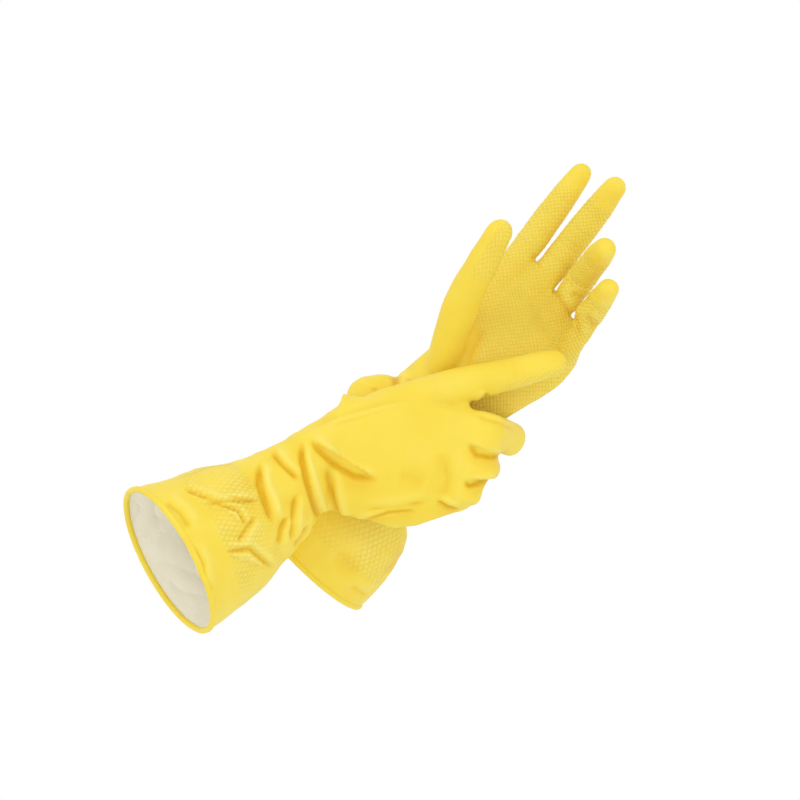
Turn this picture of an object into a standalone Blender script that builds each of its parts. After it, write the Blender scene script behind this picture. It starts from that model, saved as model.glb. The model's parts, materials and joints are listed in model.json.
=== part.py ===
"""A pair of flock-lined latex household gloves with long gauntlet sleeves, as they are when being worn.

The left glove stands with its palm to the front (-Y) and its fingers up to the right. The right glove comes
from the left, shows its back, and grips the left one round the wrist: its thumb lies on the left palm and its
fingers curl round the little-finger side and behind the wrist. Each glove is a moulded skin, divided at the
creases where latex bends, so that the stretches between the creases are stiff pieces and the creases
themselves are short flexible collars. Both gloves are hollow, from the beaded cuff to the fingertips.

Frame: metres, +Z up, -Y to the front. The origin is the middle of the left glove's cuff opening.
A hand's own frame has its origin at the wrist, +Z to the fingers, +Y to the back of the hand, and +X to the
little finger of a left hand. The right hand is its mirror image in X.
"""

import math

import bmesh
import bpy
from mathutils import Matrix, Vector

MM = 0.001
ALONG = Vector((0.0, 0.0, 1.0))

# ---- Driving dimensions -------------------------------------------------------------------------------------
LATEX_WALL = 0.8 * MM  # latex with the flock that is bonded into it
FLOCK_WALL = 0.5 * MM  # the loose flock lining of the sleeve
GAP = 0.4 * MM  # between neighbouring pieces
LINING_GAP = 0.9 * MM  # between a sleeve and its lining
LINING_INSET = 9 * MM  # how far inside the cuff and the wrist the lining ends
CUFF_RADIUS = 49 * MM
BEAD_RADIUS = 2.3 * MM  # of the rolled bead round the cuff
WRIST_WIDTH = 28 * MM  # half the width of the gripped wrist
WRIST_DEPTH = 18 * MM  # half its depth, front to back
HEEL_WIDTH = 36 * MM  # half the width of the palm at its heel
HEEL_DEPTH = 18 * MM
HEEL_HEIGHT = 33 * MM  # above the wrist
PALM_WIDTH = 38 * MM  # half the width of the middle of the palm
PALM_MIDDLE = 3 * MM  # sideways from the wrist
PALM_DEPTH = 16 * MM
PALM_HEIGHT = 48 * MM
PALM_SET_FORWARD = 2 * MM
HEEL_SPREAD = 0.5  # how much of a hand's shift at the wrist also widens its heel and moves its palm
PALM_SPREAD = 0.25  # and how much of it widens its palm
BAND_WIDTH = 40.5 * MM  # half the width of the hand below the knuckles
BAND_DEPTH = 13.5 * MM
BAND_MIDDLE = 5.5 * MM  # sideways from the wrist, because the little finger's side is the wider one
BAND_HEIGHT = 69.5 * MM
BAND_SLOPE = -0.215  # the knuckle line falls towards the little finger
WEB_THICKNESS = 3.8 * MM  # of the band that joins the roots of the four fingers
GRIP_CLEARANCE = 2.2 * MM  # between the right palm and the left wrist
JOINT_CLEARANCE = 1.2 * MM  # between two stiff pieces when a joint is bent all the way
FINGER_FLATNESS = 0.94  # a finger's depth over its width
WRIST_HINGE = 8 * MM  # how far behind the wrist's end of the palm a sleeve turns
WELD = 0.01 * MM

SHARP_EDGE = 35  # in degrees: edges that are sharper than this are shaded as edges
TIP_STEPS = (0, 38, 68)  # in degrees round a fingertip, from its widest ring to its last one

FINGER_SIDES = 10
PALM_SIDES = 20
SLEEVE_SIDES = 20
BEAD_SIDES = 6

# The knuckle's place in the hand's frame, the lengths of the three bones (the last one to the middle of the
# round tip), and the glove's radius at the knuckle, the two finger joints and the tip.
FINGERS = {
    "index": {"knuckle": (-25.0, 0.0, 87.0), "bones": (44, 26, 18), "radii": (10.0, 9.6, 9.0, 8.0)},
    "middle": {"knuckle": (-4.0, 2.0, 89.0), "bones": (48, 30, 19), "radii": (10.2, 9.9, 9.4, 8.5)},
    "ring": {"knuckle": (16.5, 1.0, 83.0), "bones": (44, 28, 19), "radii": (9.7, 9.4, 8.9, 8.1)},
    "little": {"knuckle": (35.5, -3.0, 74.0), "bones": (35, 21, 17), "radii": (8.9, 8.6, 8.2, 7.4)},
}
THUMB = {"knuckle": (-22.5, -8.0, 20.0), "bones": (48, 35, 25), "radii": (11.5, 11.6, 10.9, 9.8)}

# How far each joint can bend from straight, in degrees. The collars leave the stiff pieces room for it.
MOST_BEND = {"knuckle": 92, "middle": 80, "end": 55, "thumb": 50}

# The pose. A finger has its lean to the side and its bends at the knuckle, middle and end joints; the thumb
# has its lean, roll and forward tilt, then its bends at the knuckle and end joints. A sleeve's stations are
# its share of the way from the wrist to the cuff, how far it lies to the little finger's side and to the front
# of the straight line between them, and its half width and half depth.
LEFT = {
    "name": "left",
    "side": 1,
    "turn": (36.3, 0.0),
    "wrist_place": Vector((94.6, -36.5, 93.6)) * MM,
    "wrist_shift": -5 * MM,
    "wrist_size": (WRIST_WIDTH, WRIST_DEPTH),
    "palm_shift": 0.0,
    "cuff_middle": Vector((0.0, 0.0, 0.0)),
    "cuff_axis": Vector((0.697, -0.10, 0.71)),
    "stations": (
        (0.2, -10, 5, 34, 18),
        (0.45, -8, 12, 30, 18),
        (0.6, 3, 8, 39, 24),
        (0.75, 4, 3, 44, 38),
    ),
    "fingers": {
        "index": (0, 5, 4, 4),
        "middle": (1, 16, 14, 9),
        "ring": (0, 30, 30, 17),
        "little": (-1, 36, 21, 12),
    },
    "thumb": (19, 71, 32, 10, 2),
    "sleeve_start": GAP,
}
RIGHT = {
    "name": "right",
    "side": -1,
    "turn": (105.0, 180.0),
    "wrist_place": Vector((27.4, 0.0, 83.4)) * MM,
    "wrist_shift": 14 * MM,
    "wrist_size": (37 * MM, 20 * MM),
    "palm_shift": 7 * MM,
    "cuff_middle": Vector((-79.0, -131.0, 6.0)) * MM,
    "cuff_axis": Vector((0.80, 0.42, 0.43)),
    "stations": (
        (0.22, 4, 0, 33, 23),
        (0.45, 5, 0, 34, 27),
        (0.65, 4, 0, 42, 36),
        (0.8, 3, 0, 45, 41),
    ),
    "fingers": {
        "index": (3, 67, 50, 33),
        "middle": (3, 85, 38, 40),
        "ring": (2, 92, 28, 32),
        "little": (2, 96, 15, 25),
    },
    "thumb": (30, 65, -4, 2, -1),
    "sleeve_start": 16 * MM,
}
RIGHT["wrist_place"].y = LEFT["wrist_place"].y - WRIST_DEPTH - GRIP_CLEARANCE - HEEL_DEPTH - PALM_SET_FORWARD

YELLOW = (0.90, 0.70, 0.10, 1.0)
CREAM = (0.93, 0.84, 0.58, 1.0)


# ---- Frames -------------------------------------------------------------------------------------------------
def rotation(degrees, axis):
    return Matrix.Rotation(math.radians(degrees), 3, axis)


def frame_at(point, turn):
    return Matrix.Translation(point) @ turn.to_4x4()


def hand_frame(glove):
    """From the hand's own frame to the world."""
    turn = rotation(glove["turn"][0], "Y") @ rotation(glove["turn"][1], "Z")
    return frame_at(glove["wrist_place"], turn) @ Matrix.Diagonal((glove["side"], 1, 1, 1))


def chain(start, turn, lengths, bends):
    """The bones from a knuckle on: each has its first point, its frame, and the frame before its joint bent."""
    bones = []
    point = Vector(start) * MM
    for length, bend in zip(lengths, bends):
        before = turn
        turn = turn @ rotation(bend, "X")
        bones.append({"start": point, "before": before, "turn": turn, "length": length * MM})
        point = point + turn @ ALONG * (length * MM)
    return bones


def finger_bones(glove, finger):
    lean, *bends = glove["fingers"][finger]
    return chain(FINGERS[finger]["knuckle"], rotation(lean, "Y"), FINGERS[finger]["bones"], bends)


def thumb_bones(glove):
    lean, roll, forward, *bends = glove["thumb"]
    turn = rotation(forward, "X") @ rotation(-lean, "Y") @ rotation(roll, "Z")
    return chain(THUMB["knuckle"], turn, THUMB["bones"], (0, *bends))


def reach(radius, joint):
    """How far from a joint the stiff pieces stop, so that they stay apart when it is bent all the way."""
    return radius * FINGER_FLATNESS * math.tan(math.radians(MOST_BEND[joint] / 2)) + JOINT_CLEARANCE


# ---- Rings and skins ----------------------------------------------------------------------------------------
def finger_ring(point, turn, radius):
    return frame_at(point, turn) @ Matrix.Diagonal((radius, radius * FINGER_FLATNESS, 1, 1))


def bend_rings(bone, radius, reach_before, reach_after):
    """The rings of a collar that turns smoothly through the joint at the bone's start."""
    before, after = bone["before"], bone["turn"]
    half_turn = before.to_quaternion().slerp(after.to_quaternion(), 0.5).to_matrix()
    bend = (before @ ALONG).angle(after @ ALONG)
    inwards = (after @ ALONG) - (before @ ALONG)
    depth = min(reach_before, reach_after) / math.tan(bend / 2) * (1 / math.cos(bend / 2) - 1) if bend else 0
    middle = bone["start"] + inwards.normalized() * depth
    return [
        finger_ring(bone["start"] - before @ ALONG * reach_before, before, radius),
        finger_ring(middle, half_turn, radius),
        finger_ring(bone["start"] + after @ ALONG * reach_after, after, radius),
    ]


def new_object(name, bm, material):
    mesh = bpy.data.meshes.new(name)
    bm.to_mesh(mesh)
    bm.free()
    mesh.materials.append(material)
    mesh.shade_smooth()
    mesh.set_sharp_from_angle(angle=math.radians(SHARP_EDGE))
    piece = bpy.data.objects.new(name, mesh)
    bpy.context.scene.collection.objects.link(piece)
    return piece


def lofted(rings, sides, capped_start=False, capped_end=False):
    """A skin drawn through rings, each the frame of a unit circle."""
    bm = bmesh.new()
    first = bmesh.ops.create_circle(bm, cap_ends=False, segments=sides, radius=1, matrix=rings[0])["verts"]
    edges = list({edge for vert in first for edge in vert.link_edges})
    start_edges = edges
    for before, after in zip(rings, rings[1:]):
        grown = bmesh.ops.extrude_edge_only(bm, edges=edges)["geom"]
        verts = [item for item in grown if isinstance(item, bmesh.types.BMVert)]
        edges = [item for item in grown if isinstance(item, bmesh.types.BMEdge)]
        bmesh.ops.transform(bm, matrix=after @ before.inverted(), verts=verts)
    if capped_start:
        bmesh.ops.contextual_create(bm, geom=start_edges)
    if capped_end:
        bmesh.ops.contextual_create(bm, geom=edges)
    bmesh.ops.recalc_face_normals(bm, faces=bm.faces)
    middle = sum((vert.co for vert in bm.verts), Vector()) / len(bm.verts)
    bm.normal_update()
    outwards = sum(face.calc_area() * face.normal.dot(face.calc_center_median() - middle) for face in bm.faces)
    if outwards < 0:
        bmesh.ops.reverse_faces(bm, faces=bm.faces)
    return bm


def skin(name, rings, sides, material, wall=LATEX_WALL, capped_end=False):
    """A lofted skin whose wall grows inwards."""
    piece = new_object(name, lofted(rings, sides, capped_end=capped_end), material)
    thicken = piece.modifiers.new("wall", "SOLIDIFY")
    thicken.thickness = wall
    thicken.offset = -1
    thicken.use_even_offset = True
    return piece


def cut(piece, cutters, operation):
    for cutter in cutters:
        step = piece.modifiers.new(cutter.name, "BOOLEAN")
        step.operation = operation
        step.object = cutter


def guide(name, rings, sides, material):
    """A closed solid that only shapes another piece."""
    solid = new_object(name, lofted(rings, sides, capped_start=True, capped_end=True), material)
    solid.hide_render = True
    solid.display_type = "WIRE"
    return solid


def inset(ring, wall):
    """The same ring, smaller by a wall all round."""
    width, depth = ring.col[0].to_3d().length, ring.col[1].to_3d().length
    return ring @ Matrix.Diagonal((1 - wall / width, 1 - wall / depth, 1, 1))


def carried(ring, neighbour, distance):
    """The ring moved away from its neighbour, on the same slope, so that a cutter runs past the cut's end."""
    step = (ring.translation - neighbour.translation).length
    return ring + (ring - neighbour) * (distance / step)


def lengthwise(ring, distance):
    """The ring moved along its own axis."""
    return Matrix.Translation(ring.col[2].to_3d() * distance) @ ring


def run_past(rings, distance, start=True):
    """The rings of a cutter, whose last ring, and first one too if start is set, lie past the cut's ends."""
    first = carried(rings[0], rings[1], distance) if start else rings[0]
    return [first, *rings[1:-1], carried(rings[-1], rings[-2], distance)]


def hinged(piece, place, point):
    """Puts the origin of a moving piece on its joint, where it turns."""
    joint = place @ point
    piece.data.transform(Matrix.Translation(-joint))
    piece.location = joint


# ---- The pieces of a finger ---------------------------------------------------------------------------------
def joint_collar(name, place, bone, radius, joint, material):
    length = reach(radius, joint) - GAP / 2
    rings = [place @ ring for ring in bend_rings(bone, radius, length, length)]
    return skin(name, rings, FINGER_SIDES, material)


def stiff_tube(name, place, bone, radii, reaches, material):
    """The straight skin between two joints."""
    shares = [(reaches[0] + GAP / 2) / bone["length"], 1 - (reaches[1] + GAP / 2) / bone["length"]]
    rings = []
    for share in shares:
        point = bone["start"] + bone["turn"] @ ALONG * (bone["length"] * share)
        rings.append(place @ finger_ring(point, bone["turn"], radii[0] + (radii[1] - radii[0]) * share))
    return skin(name, rings, FINGER_SIDES, material)


def round_tip(name, place, bone, radii, start_reach, material):
    """The last skin of a finger, closed by a round end."""
    start = bone["start"] + bone["turn"] @ ALONG * (start_reach + GAP / 2)
    middle = bone["start"] + bone["turn"] @ ALONG * bone["length"]
    rings = [finger_ring(start, bone["turn"], radii[0])]
    for degrees in TIP_STEPS:
        rise = math.sin(math.radians(degrees)) * radii[1]
        size = math.cos(math.radians(degrees)) * radii[1]
        rings.append(finger_ring(middle + bone["turn"] @ ALONG * rise, bone["turn"], size))
    return skin(name, [place @ ring for ring in rings], FINGER_SIDES, material, capped_end=True)


def finger(glove, digit, material):
    """The stiff pieces and the two crease collars of one finger, past its knuckle."""
    place = hand_frame(glove)
    bones = finger_bones(glove, digit)
    radii = [radius * MM for radius in FINGERS[digit]["radii"]]
    joints = ("knuckle", "middle", "end")
    reaches = [reach(radius, joint) for radius, joint in zip(radii, joints)]
    label = f"{glove['name']}_{digit}"
    base = stiff_tube(f"{label}_base", place, bones[0], radii[0:2], reaches[0:2], material)
    base_crease = joint_collar(f"{label}_base_crease", place, bones[1], radii[1], "middle", material)
    mid = stiff_tube(f"{label}_mid", place, bones[1], radii[1:3], reaches[1:3], material)
    tip_crease = joint_collar(f"{label}_tip_crease", place, bones[2], radii[2], "end", material)
    tip = round_tip(f"{label}_tip", place, bones[2], radii[2:4], reaches[2], material)
    carried_by = ((base, 0), (base_crease, 0), (mid, 1), (tip_crease, 1), (tip, 2))
    for piece, number in carried_by:
        hinged(piece, place, bones[number]["start"])


def thumb(glove, material):
    place = hand_frame(glove)
    bones = thumb_bones(glove)
    radii = [radius * MM for radius in THUMB["radii"]]
    reaches = [reach(radius, "thumb") for radius in radii[1:3]]
    label = f"{glove['name']}_thumb"
    joint_collar(f"{label}_root_crease", place, bones[1], radii[1], "thumb", material)
    base = stiff_tube(f"{label}_base", place, bones[1], radii[1:3], reaches, material)
    tip_crease = joint_collar(f"{label}_tip_crease", place, bones[2], radii[2], "thumb", material)
    tip = round_tip(f"{label}_tip", place, bones[2], radii[2:4], reaches[1], material)
    for piece, bone in ((base, bones[1]), (tip_crease, bones[1]), (tip, bones[2])):
        hinged(piece, place, bone["start"])


# ---- The hand -----------------------------------------------------------------------------------------------
def palm_ring(sideways, forward, height, width, depth, slope=0.0):
    """A ring across the hand, which slope tips along the knuckle line."""
    ring = Matrix.Translation((sideways, -forward, height))
    ring = ring @ Matrix(((width, 0, 0, 0), (0, depth, 0, 0), (slope * width, 0, 1, 0), (0, 0, 0, 1)))
    return ring


def band_ring(rise):
    """The ring round the hand just below the knuckles, or one that lies a little further on."""
    return palm_ring(BAND_MIDDLE, 0, BAND_HEIGHT + rise, BAND_WIDTH, BAND_DEPTH, BAND_SLOPE)


def wrist_ring(glove):
    return palm_ring(glove["wrist_shift"], 0, 0, *glove["wrist_size"])


def palm_rings(glove):
    shift = glove["palm_shift"]
    heel_width = HEEL_WIDTH + shift * HEEL_SPREAD
    palm_width = PALM_WIDTH + shift * PALM_SPREAD
    palm_middle = PALM_MIDDLE + shift * HEEL_SPREAD
    return [
        wrist_ring(glove),
        palm_ring(shift, PALM_SET_FORWARD, HEEL_HEIGHT, heel_width, HEEL_DEPTH),
        palm_ring(palm_middle, PALM_SET_FORWARD, PALM_HEIGHT, palm_width, PALM_DEPTH),
        band_ring(0),
    ]


def hand(glove, material):
    """The palm and the root of the thumb, in one skin that is open at the wrist, the knuckles and the thumb."""
    place = hand_frame(glove)
    palm = palm_rings(glove)
    first = thumb_bones(glove)[0]
    radii = [radius * MM for radius in THUMB["radii"]]
    end_share = 1 - (reach(radii[1], "thumb") + GAP / 2) / first["length"]
    root = []
    for share in (0, end_share):
        point = first["start"] + first["turn"] @ ALONG * (first["length"] * share)
        root.append(finger_ring(point, first["turn"], radii[0] + (radii[1] - radii[0]) * share))
    root_hollow = [inset(ring, LATEX_WALL) for ring in root]
    label = f"{glove['name']}_hand"
    piece = new_object(label, lofted([place @ ring for ring in palm], PALM_SIDES, True, True), material)
    outer = guide(f"{label}_thumb_form", [place @ ring for ring in root], FINGER_SIDES, material)
    palm_hollow = run_past([inset(ring, LATEX_WALL) for ring in palm], 2 * WEB_THICKNESS)
    hollow = guide(f"{label}_hollow", [place @ ring for ring in palm_hollow], PALM_SIDES, material)
    root_hollow = run_past(root_hollow, 2 * WEB_THICKNESS, start=False)
    root_hollow = [place @ ring for ring in root_hollow]
    thumb_hollow = guide(f"{label}_thumb_hollow", root_hollow, FINGER_SIDES, material)
    cut(hollow, [thumb_hollow], "UNION")
    cut(piece, [outer], "UNION")
    cut(piece, [hollow], "DIFFERENCE")


def webbing(glove, material):
    """The band that joins the four fingers, with a collar over each knuckle."""
    place = hand_frame(glove)
    label = f"{glove['name']}_webbing"
    slab = [place @ band_ring(rise) for rise in (GAP, GAP + WEB_THICKNESS)]
    piece = new_object(label, lofted(slab, PALM_SIDES, True, True), material)
    collars, tunnels = [], []
    for digit, sizes in FINGERS.items():
        bone = finger_bones(glove, digit)[0]
        radius = sizes["radii"][0] * MM
        root = bone["start"]
        floor = BAND_HEIGHT + BAND_SLOPE * (root.x - BAND_MIDDLE) + GAP + WEB_THICKNESS / 2
        length = reach(radius, "knuckle") - GAP / 2
        rings = bend_rings(bone, radius, length, length)
        start = palm_ring(root.x, -root.y, floor, radius, radius * FINGER_FLATNESS, BAND_SLOPE)
        rings = [start, *rings] if root.z - length > floor + WEB_THICKNESS else [start, *rings[1:]]
        hollow = [inset(ring, LATEX_WALL) for ring in rings]
        hollow[0] = lengthwise(hollow[0], -WEB_THICKNESS)
        hollow[-1] = lengthwise(hollow[-1], WEB_THICKNESS)
        collar, tunnel = ([place @ ring for ring in drawn] for drawn in (rings, hollow))
        collars.append(guide(f"{label}_{digit}", collar, FINGER_SIDES, material))
        tunnels.append(guide(f"{label}_{digit}_hollow", tunnel, FINGER_SIDES, material))
    cut(piece, collars, "UNION")
    cut(piece, tunnels, "DIFFERENCE")


# ---- The sleeve ---------------------------------------------------------------------------------------------
def sleeve_ring(glove, share, sideways, forward, width, depth):
    """A ring across the sleeve, between the wrist (0) and the cuff (1)."""
    place = hand_frame(glove)
    wrist = place @ Vector((glove["wrist_shift"], 0, 0))
    point = wrist.lerp(glove["cuff_middle"], share)
    along = (place.col[2].to_3d()).lerp(glove["cuff_axis"].normalized(), min(1, 2 * share)).normalized()
    across = place.col[0].to_3d()
    across = (across - along * across.dot(along)).normalized()
    deep = along.cross(across)
    turn = Matrix((across, deep, along)).transposed()
    point = point + across * sideways + Vector((0, -forward, 0))
    return frame_at(point, turn) @ Matrix.Diagonal((width, depth, 1, 1))


def sleeve_length(glove):
    wrist = hand_frame(glove) @ Vector((glove["wrist_shift"], 0, 0))
    return (wrist - glove["cuff_middle"]).length


def lining_ends(glove):
    """Where the lining starts and ends, as shares of the way from the wrist to the cuff."""
    length = sleeve_length(glove)
    return (glove["sleeve_start"] + LINING_INSET) / length, 1 - LINING_INSET / length


def sleeve_rings(glove, first_share, last_share):
    stations = [(0, Vector((0, 0, *glove["wrist_size"])))]
    stations += [(share, Vector(sizes) * MM) for share, *sizes in glove["stations"]]
    stations += [(1, Vector((0, 0, CUFF_RADIUS, CUFF_RADIUS)))]

    def sizes_at(share):
        for (above, sizes_above), (below, sizes_below) in zip(stations, stations[1:]):
            if share <= below:
                return sizes_above.lerp(sizes_below, (share - above) / (below - above))

    marks = sorted([share for share, _ in stations] + list(lining_ends(glove)))
    shares = [first_share, *[mark for mark in marks if first_share < mark < last_share], last_share]
    return [sleeve_ring(glove, share, *sizes_at(share)) for share in shares]


def sleeve(glove, latex, flock):
    """The gauntlet, its lining and the bead round its cuff."""
    length = sleeve_length(glove)
    start = glove["sleeve_start"] / length
    name = f"{glove['name']}_sleeve"
    gauntlet = skin(name, sleeve_rings(glove, start, 1 - (BEAD_RADIUS + GAP) / length), SLEEVE_SIDES, latex)
    inner = [inset(ring, LATEX_WALL + LINING_GAP) for ring in sleeve_rings(glove, *lining_ends(glove))]
    lining = skin(f"{name}_lining", inner, SLEEVE_SIDES, flock, wall=FLOCK_WALL)

    bm = bmesh.new()
    across = Matrix.Translation((CUFF_RADIUS - BEAD_RADIUS, 0, 0)) @ Matrix.Rotation(math.pi / 2, 4, "X")
    bmesh.ops.create_circle(bm, segments=BEAD_SIDES, radius=BEAD_RADIUS, matrix=across)
    bmesh.ops.spin(
        bm,
        geom=bm.edges[:],
        cent=(0, 0, 0),
        axis=(0, 0, 1),
        angle=2 * math.pi,
        steps=SLEEVE_SIDES,
        use_merge=True,
    )
    bmesh.ops.remove_doubles(bm, verts=bm.verts, dist=WELD)
    bmesh.ops.transform(bm, matrix=sleeve_ring(glove, 1, 0, 0, 1, 1), verts=bm.verts)
    bmesh.ops.recalc_face_normals(bm, faces=bm.faces)
    bead = new_object(f"{glove['name']}_cuff_bead", bm, latex)
    for piece in (gauntlet, lining, bead):
        hinged(piece, hand_frame(glove), Vector((glove["wrist_shift"], 0, -WRIST_HINGE)))


def wrist_crease(glove, material):
    """The flexible collar between a hand and a sleeve that swings."""
    place = hand_frame(glove)
    length = sleeve_length(glove)
    top = place @ Matrix.Translation((0, 0, -GAP)) @ wrist_ring(glove)
    rings = sleeve_rings(glove, glove["sleeve_start"] / 2 / length, (glove["sleeve_start"] - GAP) / length)
    skin(f"{glove['name']}_wrist_crease", [top, *rings], SLEEVE_SIDES, material)


# ---- The pair -----------------------------------------------------------------------------------------------
def material_named(name, colour, roughness):
    material = bpy.data.materials.new(name)
    material.use_nodes = True
    shader = material.node_tree.nodes["Principled BSDF"]
    shader.inputs["Base Color"].default_value = colour
    shader.inputs["Roughness"].default_value = roughness
    shader.inputs["Metallic"].default_value = 0.0
    material.diffuse_color = colour
    return material


def glove_pieces(glove, latex, flock):
    hand(glove, latex)
    webbing(glove, latex)
    for digit in FINGERS:
        finger(glove, digit, latex)
    thumb(glove, latex)
    sleeve(glove, latex, flock)


def main():
    for piece in list(bpy.data.objects):
        bpy.data.objects.remove(piece, do_unlink=True)
    latex = material_named("yellow_latex", YELLOW, 0.42)
    flock = material_named("cream_flock", CREAM, 0.95)
    for glove in (LEFT, RIGHT):
        glove_pieces(glove, latex, flock)
    wrist_crease(RIGHT, latex)


main()
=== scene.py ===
"""The looks of a pair of flock-lined latex household gloves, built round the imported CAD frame.

Each glove is moulded flat and then worn. So each one is made here with its fingers straight, as one
closed form that a voxel remesh turns into one even skin, and the fingers are bent afterwards. The folds,
gathers and creases of the worn glove are pressed into that skin. It is then divided where the CAD divides
it: the hand with its sleeve, and three pieces for each finger, which bend across the joints.

Frame: metres, +Z up, -Y to the front, origin in the middle of the left glove's cuff opening. A hand's
own frame has its origin at the wrist, +Z to the fingers, +Y to its back and +X to a left hand's little
finger.
"""

import json
import math

import bmesh
import bpy
import numpy as np
from mathutils import Matrix, Vector, noise
from mathutils.geometry import tessellate_polygon

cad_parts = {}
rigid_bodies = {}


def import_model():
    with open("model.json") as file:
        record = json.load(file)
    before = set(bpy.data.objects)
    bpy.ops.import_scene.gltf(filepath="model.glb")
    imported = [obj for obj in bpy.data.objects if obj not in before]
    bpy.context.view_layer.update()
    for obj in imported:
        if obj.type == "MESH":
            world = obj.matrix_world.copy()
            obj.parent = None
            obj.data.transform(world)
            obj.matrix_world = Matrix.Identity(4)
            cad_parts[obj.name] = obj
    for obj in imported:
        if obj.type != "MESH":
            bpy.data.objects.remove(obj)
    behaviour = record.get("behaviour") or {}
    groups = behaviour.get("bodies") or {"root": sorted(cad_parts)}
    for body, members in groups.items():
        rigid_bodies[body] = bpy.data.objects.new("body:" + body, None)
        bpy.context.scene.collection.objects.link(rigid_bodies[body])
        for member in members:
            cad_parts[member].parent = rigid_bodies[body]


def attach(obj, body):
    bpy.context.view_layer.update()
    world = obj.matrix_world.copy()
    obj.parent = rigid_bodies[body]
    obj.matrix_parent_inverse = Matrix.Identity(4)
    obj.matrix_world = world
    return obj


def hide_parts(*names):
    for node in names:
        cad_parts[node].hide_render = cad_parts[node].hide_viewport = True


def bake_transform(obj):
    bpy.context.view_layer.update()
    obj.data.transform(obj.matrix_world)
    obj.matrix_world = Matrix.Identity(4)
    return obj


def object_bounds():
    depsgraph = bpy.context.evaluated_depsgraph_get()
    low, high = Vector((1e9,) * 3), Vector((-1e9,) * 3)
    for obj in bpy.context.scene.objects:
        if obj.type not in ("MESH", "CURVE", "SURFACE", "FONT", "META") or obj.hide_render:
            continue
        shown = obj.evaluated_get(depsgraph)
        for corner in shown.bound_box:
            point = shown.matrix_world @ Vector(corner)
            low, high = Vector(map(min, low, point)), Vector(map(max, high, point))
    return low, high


MM = 0.001
ALONG = Vector((0.0, 0.0, 1.0))
VOXEL = 1.0 * MM
AMBIENT = 0.91
WALL_INSET = 1.2 * MM  # of the walls that close a finger's side, under the skin
FINGER_FLATNESS = 0.94
TIP_LENGTH = 1.14  # a round fingertip's length over its radius
TIP_DEGREES = (15, 30, 45, 58, 70, 80)  # where the rings of a round fingertip lie
CUFF_RADIUS = 49 * MM
BEAD_RADIUS = 1.9 * MM
BEAD_STEPS = 220
BEAD_SIDES = 14
LINING_DEPTH = 1.7  # of the flock under the latex, in millimetres
LINING_RISE = 0.7  # how much nearer the latex the flock lies at the rim
RIM_ZONE = 12 * MM
GRIP_PITCH = 3.3  # of the diamonds of the palm, in millimetres
LOZENGE_PITCH = 4.4  # of the larger ones round the cuff
LOZENGE_STRETCH = 0.7
BAND = (20, 62)  # from where to where, in millimetres from the cuff, the lozenges run
JOINT_ZONE = 6.5 * MM  # how far the gathers of a bent joint reach
GATHER_PITCH = 0.8 * MM  # from one to the next, over two pi
GATHER_HEIGHT = 0.5 * MM
FULL_GATHER = 30  # the bend, in degrees, from which a joint's inner side is gathered in full
ROOT_DEPTH = 22  # how far inside the hand a finger's form starts, in millimetres
FIST_HEIGHTS = (56, 20)  # from where on, and over how much, a closed hand draws its knuckles together
# The latex's unevenness: the size of its waves in metres, and their height.
SLEEVE_WRINKLES = (0.021, 1.1 * MM)
SLEEVE_CRINKLES = (0.009, 0.3 * MM)
HAND_WAVES = (0.03, 0.35 * MM)
FINGER_WAVES = (0.011, 0.25 * MM)
BAND_PATCHES = (0.02, 1)  # where the lozenges are worn fainter

# The skeleton and the outer sizes, in millimetres and degrees. "fan" is how far a straight finger leans to
# the side.
FINGERS = {
    "index": {
        "knuckle": (-25.0, 0.0, 87.0),
        "bones": (44, 26, 18),
        "radii": (10.0, 9.6, 8.9, 7.2),
        "fan": -4,
        "strip_end": 33,
    },
    "middle": {
        "knuckle": (-4.0, 2.0, 89.0),
        "bones": (48, 30, 19),
        "radii": (10.2, 9.9, 9.2, 7.7),
        "fan": 0,
        "strip_end": 36,
    },
    "ring": {
        "knuckle": (16.5, 1.0, 83.0),
        "bones": (44, 28, 19),
        "radii": (9.7, 9.5, 8.8, 7.4),
        "fan": 4,
        "strip_end": 33,
    },
    "little": {
        "knuckle": (35.5, -3.0, 74.0),
        "bones": (35, 21, 17),
        "radii": (8.9, 8.9, 8.2, 6.9),
        "fan": 9,
        "strip_end": 27,
    },
}
DIGITS = list(FINGERS)
ON_THUMB = len(DIGITS)  # the thumb's number, after the four fingers
STRIP_START = -ROOT_DEPTH  # where a finger's first piece begins, from its knuckle; it ends at strip_end
THUMB_STRIP = 14  # how far before the thumb's middle joint its first piece begins
HALF_BENDS = {"knuckle_skin": 10, "middle_skin": 7.5, "tip_skin": 6.5}  # half the length that bends
THUMB = {"knuckle": (-22.5, -8.0, 20.0), "bones": (48, 35, 25), "radii": (11.5, 12.2, 10.9, 9.0)}
WEB_LINE = (109.0, -0.3, 5.5)  # height of the webs between the fingers, its slope, and where that height is

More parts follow.
